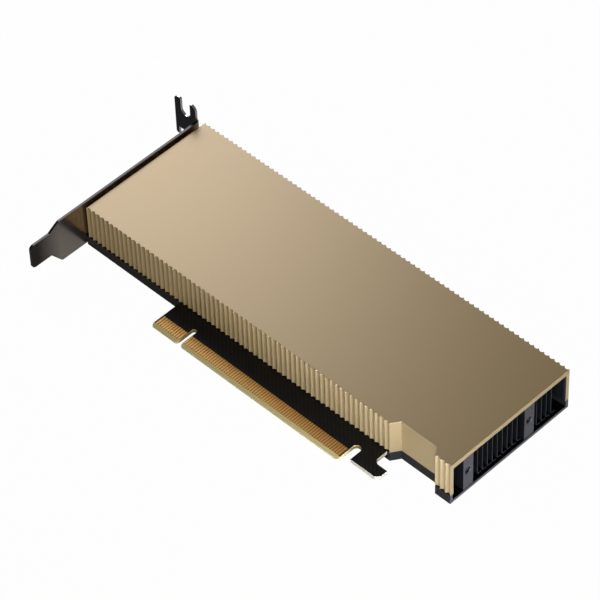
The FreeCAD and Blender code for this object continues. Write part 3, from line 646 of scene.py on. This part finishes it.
cover_low, cover_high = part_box("cover")
flute_pitch = (cover_high.x - cover_low.x) / flute_count
recess_end = cover_high.x - flutes_behind_recess * flute_pitch
recess_start = recess_end - flutes_in_recess * flute_pitch
slanted_length = math.hypot(recess_slant, recess_depth)
chamfer_start = cover_high.x - inlet_chamfer


def valley(x):
    """How deep the flutes are at x: a circular arc between two narrow lands, repeated."""
    half = (flute_pitch - flute_land) / 2
    radius = (half ** 2 + flute_depth ** 2) / (2 * flute_depth)
    across = (x - cover_low.x) % flute_pitch - flute_pitch / 2
    arc = np.sqrt(np.maximum(radius ** 2 - across ** 2, 0)) - (radius - flute_depth)
    return np.maximum(arc, 0)


def recess_shift(wall):
    """How far the recess's corners move out along X on a line that lies a wall further in."""
    return wall * (slanted_length - recess_slant) / recess_depth


def recess(x, wall):
    """How far the recess sets the side back at x: a trapezium, offset inwards by a wall."""
    rise = (x - recess_start + recess_shift(wall)) / recess_slant
    fall = (recess_end + recess_shift(wall) - x) / recess_slant
    return recess_depth * np.clip(np.minimum(rise, fall), 0, 1)


def stations():
    """The places along X where the cover's section is taken: the flutes' and the corners'."""
    along = np.linspace(cover_low.x, cover_high.x, flute_count * flute_steps + 1)
    lands = cover_low.x + np.arange(flute_count + 1) * flute_pitch
    inner_start = recess_start - recess_shift(cover_wall)
    inner_end = recess_end + recess_shift(cover_wall)
    corners = [
        recess_start + recess_slant, recess_end - recess_slant,
        inner_start, inner_start + recess_slant, inner_end, inner_end - recess_slant,
        chamfer_start,
    ]
    every = np.concatenate([along, lands[:-1] + flute_land / 2, lands[1:] - flute_land / 2, corners])
    return np.unique(np.round(every, decimals=8))


def cover_mesh():
    """The cover as one section carried along X.

    The section is a closed line of y and z: up the connector side, round the top edge,
    over the top, down the far side, and back through the duct. Flutes and recess move its
    outer points in y, and the chamfer at the air inlet opens its inner ones.
    """
    x = stations()
    in_recess = (x > recess_start) & (x < recess_end)
    near = cover_low.y + np.where(in_recess, recess(x, 0), valley(x))
    far = cover_high.y - valley(x)
    low = np.full_like(x, cover_low.z)
    high = np.full_like(x, cover_high.z)
    growth = np.maximum(x - chamfer_start, 0)
    inner_near = cover_low.y + cover_wall + recess(x, cover_wall) - growth
    inner_far = cover_high.y - cover_wall + growth
    ceiling = high - cover_top + growth

    quarter = np.linspace(0, math.pi / 2, edge_steps + 1)
    inset = edge_round * (1 - np.cos(quarter))
    drop = edge_round * (1 - np.sin(quarter))
    section = [(inner_near, low), (near + rim_break, low), (near, low + rim_break)]
    near_edge = len(section)
    section += [(near + inset[k], high - drop[k]) for k in range(edge_steps + 1)]
    over_top = len(section) - 1
    section += [(far - inset[k], high - drop[k]) for k in reversed(range(edge_steps + 1))]
    far_edge_end = len(section) - 1
    section += [(far, low + rim_break), (far - rim_break, low)]
    far_rim = len(section) - 1
    section += [(inner_far, low), (inner_far, ceiling), (inner_near, ceiling)]
    columns = len(section)

    points = np.stack([np.stack([x, y, z], -1) for y, z in section], 1).reshape(-1, 3)
    faces = [face[::-1] for face in sweep_faces(len(x), columns)]
    faces.append(list(range(columns)))
    faces.append(list(range(len(points) - columns, len(points)))[::-1])
    mesh = mesh_from("cover_shell", points, faces)

    strip = np.tile(np.arange(columns), len(x) - 1)
    reach = np.repeat(x[1:], columns)
    fluted = (strip > 0) & (strip < far_rim) & (strip != over_top)
    mesh.polygons.foreach_set("use_smooth", np.append(fluted, [False, False]))
    far_wall = far_rim + 1
    before_chamfer = reach < chamfer_start + tiny
    in_duct = (strip == far_wall) | ((strip > far_wall) & before_chamfer)
    on_edge = (strip >= near_edge) & (strip < far_edge_end) & (strip != over_top)
    # Slot 2 puts the painted edge highlight on the rounded edge strips past the recess's start.
    slots = np.where(in_duct, 1, np.where(on_edge & (reach > recess_start), 2, 0))
    mesh.polygons.foreach_set("material_index", np.append(slots, [0, 0]))
    return mesh


cover_finishes = [
    blasted_metal(
        "champagne_anodised", champagne, roughness=0.42, grain=2600, depth=0.00004, tone=0.11,
        metallic=0.4, clear_layer=1.0,
    ),
    painted("duct_black", inside_black, roughness=0.45, grain=3000, depth=0.00003, specular=0.4),
    blasted_metal(
        "champagne_painted_highlight", edge_painted_highlight, roughness=0.4, grain=5000, depth=0.00002, metallic=0.4
    ),
]
placed("cover_shell", cover_mesh(), cover_finishes, replaces=["cover"])

# Bracket
# One folded sheet of steel, plated dark nickel, with vents over its plate and a notch in its
# tab for the chassis screw. Two screws hold it to the posts behind it.
bracket_sheet = 0.00086
plate_margin = 0.2 * bracket_sheet
# Painted shade: the plate darkens towards the tongue's tip, from shade_start to shade_end.
shade_start = 0.003
shade_end = 0.013
tongue_shade = 0.92
cut_facing = 0.6
nickel_dark = (0.60, 0.54, 0.48)
nickel_light = (0.72, 0.65, 0.58)
tongue_painted_shade = (0.03, 0.028, 0.026)
plate_cut = (0.06, 0.056, 0.05)
# Painted shade makes the tab's faces nearly black, and a painted highlight makes its cuts bright.
tab_painted_shade = (0.012, 0.012, 0.012)
tab_cut_painted_highlight = (0.9, 0.87, 0.83)

bracket_low, bracket_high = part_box("bracket")


def plated_sheet():
    """Nickel, with painted shade on the tongue and tab and painted highlights on the tab's cuts."""
    material, tree = empty_material("bracket_nickel")
    place = shader_node(tree, "ShaderNodeTexCoord").outputs["Object"]
    at = axis_parts(tree, place)
    plate_start = bracket_high.x - bracket_sheet - plate_margin
    on_plate = calculated(tree, "GREATER_THAN", at["X"], plate_start)
    speckle = surface_grain(tree, 2500)
    nickel = blend(tree, speckle, nickel_dark, nickel_light)
    # Painted shade, growing towards the tongue.
    painted_shade_to_tongue = shader_node(tree, "ShaderNodeMapRange", {
        "Value": at["Y"], "From Min": bracket_low.y + shade_start,
        "From Max": bracket_low.y + shade_end, "To Min": tongue_shade, "To Max": 0.0,
    }).outputs[0]
    plate_with_painted_shade = blend(tree, painted_shade_to_tongue, nickel, tongue_painted_shade)
    plate = blend(tree, facing_part(tree, "X", -cut_facing, cut_facing), plate_with_painted_shade, plate_cut)
    # The tab: painted shade on its faces, painted highlight on its cuts.
    tab = blend(tree, facing_part(tree, "Y", -cut_facing, cut_facing), tab_painted_shade, tab_cut_painted_highlight)
    show(tree, shader_node(tree, "ShaderNodeBsdfPrincipled", {
        "Base Color": blend(tree, on_plate, tab, plate), "Metallic": 1.0, "Roughness": 0.2,
        "Normal": raised(tree, speckle, strength=0.3, depth=0.00001),
    }))
    return material


dress("bracket", plated_sheet())

# Screws
# Steel machine screws: countersunk black ones with a six-sided socket in the tray and the
# bracket, and zinc plated ones with round heads on the board and the clamp.
screw_head = 0.0038
screw_thread = 0.002
screw_head_height = 0.00085
socket_across = 0.0013
socket_depth = 0.0005
screw_break = 0.00006
screw_steps = 48
screw_cut_share = 0.7
screw_tip_share = 0.8
plain_turns = 2
bracket_screw_length = 0.0042
bracket_screw_height = 0.01021
screw_from_post_back = 0.0022

black_steel = blasted_metal("screw_black", (0.1, 0.1, 0.1), roughness=0.35)
zinc_steel = blasted_metal("screw_zinc", (0.45, 0.45, 0.44), roughness=0.3)


def countersunk_screw(start, direction, length):
    """A screw as one profile turned about its axis, from the socket's floor to the tip.

    The first rings are six-sided: their radius grows with one over the cosine of the angle
    to the nearest flat. The thread is a ridge wound on the shank.
    """
    angle = np.arange(screw_steps) * 2 * math.pi / screw_steps
    hexagon = socket_across / 2 / np.cos(angle % (math.pi / 3) - math.pi / 6)
    whole = np.ones_like(angle)
    core = screw_thread / 2 - thread_depth * screw_cut_share
    profile = [
        (socket_depth, hexagon), (screw_break, hexagon), (0, hexagon + screw_break),
        (0, (screw_head / 2 - screw_break) * whole), (screw_break, screw_head / 2 * whole),
        (screw_head_height, core * whole), (length - thread_pitch, core * whole),
        (length, core * screw_tip_share * whole),
    ]
    along = np.array([ring[0] for ring in profile])[:, None]
    radius = np.array([ring[1] for ring in profile])
    points = about_axis(start, direction, along, radius, angle)
    faces = sweep_faces(len(profile), screw_steps)
    faces.append(list(range(screw_steps))[::-1])
    faces.append(list(range(len(points) - screw_steps, len(points))))
    turns = int((length - screw_head_height) / thread_pitch) - plain_turns
    begin = np.array(start) + np.array(direction) * (screw_head_height + thread_pitch)
    ridge = thread_ridge(begin, direction, core - thread_sunk, screw_thread / 2, turns)
    return joined([(points, faces), ridge])


def screw_set(node, starts, direction, length):
    """Puts one kind of screw at several places, as one piece that stands for a solid."""
    screws = joined([countersunk_screw(start, direction, length) for start in starts])
    mesh = mesh_from(node + "_turned", *screws)
    placed(node + "_turned", mesh, [black_steel], replaces=[node])


tray_screw_low, tray_screw_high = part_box("tray_screws")
tray_screw_places = []
for node, from_back in (
    ("inlet_post_lower", 1), ("inlet_post_upper", 1),
    ("bracket_post_lower", -1), ("bracket_post_upper", -1),
):
    post_low, post_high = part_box(node)
    back = post_low.x if from_back > 0 else post_high.x
    middle = (post_low.y + post_high.y) / 2
    tray_screw_places.append((back + from_back * screw_from_post_back, middle, tray_screw_low.z))
screw_set("tray_screws", tray_screw_places, (0, 0, 1), tray_screw_high.z - tray_screw_low.z)

bracket_screw_places = []
for node in ("bracket_post_lower", "bracket_post_upper"):
    post_low, post_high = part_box(node)
    middle = (post_low.y + post_high.y) / 2
    bracket_screw_places.append(
        (bracket_high.x - bracket_sheet, middle, tray_low.z + bracket_screw_height)
    )
screw_set("bracket_screws", bracket_screw_places, (1, 0, 0), bracket_screw_length)
for node in ("clamp_screws", "board_screws"):
    dress(node, zinc_steel)
